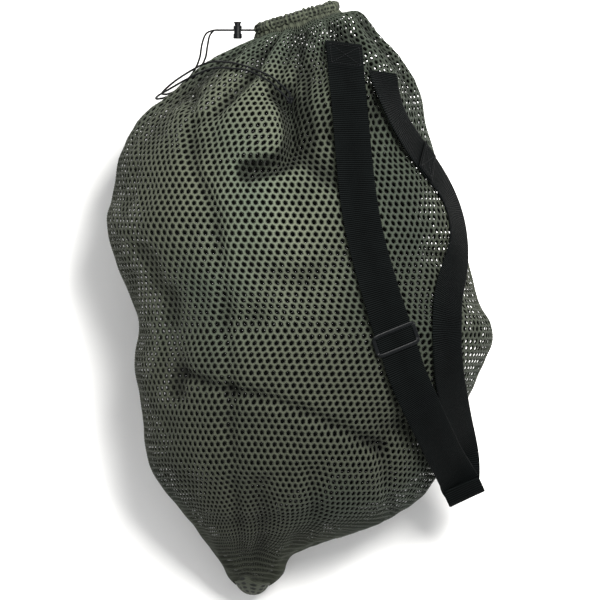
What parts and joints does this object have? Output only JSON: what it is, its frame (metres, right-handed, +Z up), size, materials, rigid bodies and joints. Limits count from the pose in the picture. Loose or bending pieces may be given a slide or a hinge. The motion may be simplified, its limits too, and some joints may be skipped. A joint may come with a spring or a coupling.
{
  "type": "mesh laundry bag",
  "caption": "Filled drawstring bag of open knit mesh lying on its back, with a gathered mouth, a cord lock on doubled cord tails and a wide shoulder strap with a slider.",
  "frame": {"origin": "on the floor, under the middle of the bag as it lies on its back", "axes": "+Y along the bag towards its mouth, +X to the bag's right hand side seen from the front, +Z up out of the bag's front, away from the floor"},
  "size_m": [0.4972, 0.7644, 0.3368],
  "materials": {
    "mesh": "open knit polyester mesh, matt olive green",
    "seam": "folded and overlocked mesh, matt olive green",
    "cord": "braided black cord",
    "webbing": "ribbed black webbing",
    "thread": "black sewing thread",
    "plastic": "moulded black plastic, satin",
    "steel": "plain spring wire"
  },
  "bodies": {
    "bag": {"mesh_front_panel": "mesh", "mesh_back_panel": "mesh", "side_seam_left": "seam", "side_seam_right": "seam", "bottom_seam_corner": "seam", "hem_casing": "seam", "drawcord_in_hem": "cord", "drawcord_tail_first": "cord", "drawcord_tail_second": "cord", "drawcord_end_knot": "cord", "strap_front_anchor": "webbing", "front_anchor_stitching": "thread", "strap_rear_anchor": "webbing"},
    "lock_barrel": {"cord_lock_barrel": "plastic", "cord_lock_spring": "steel"},
    "lock_plunger": {"cord_lock_plunger": "plastic"},
    "strap": {"strap_front_run": "webbing", "strap_bottom_turn": "webbing", "strap_rear_run": "webbing", "strap_join_patch": "webbing", "join_patch_stitching": "thread"},
    "slider": {"strap_slider": "plastic"}
  },
  "joints": [
    {"name": "lock_slide", "type": "slide", "parent": "bag", "child": "lock_barrel", "axis": [-1, 0, 0], "range_m": [0, 0.02]},
    {"name": "plunger_press", "type": "slide", "parent": "lock_barrel", "child": "lock_plunger", "axis": [0, -1, 0], "range_m": [0, 0.003], "stiffness_N_per_m": 600, "springref_m": -0.004, "deforming": ["cord_lock_spring"]},
    {"name": "strap_lift", "type": "hinge", "parent": "bag", "child": "strap", "pos_m": [0.05884, 0.2892, 0.27282], "axis": [-0.9225, 0.0915, 0.3749], "range_deg": [0, 70]},
    {"name": "slider_slide", "type": "slide", "parent": "strap", "child": "slider", "axis": [0.2978, -0.9165, -0.2672], "range_m": [-0.024, 0.024]}
  ]
}
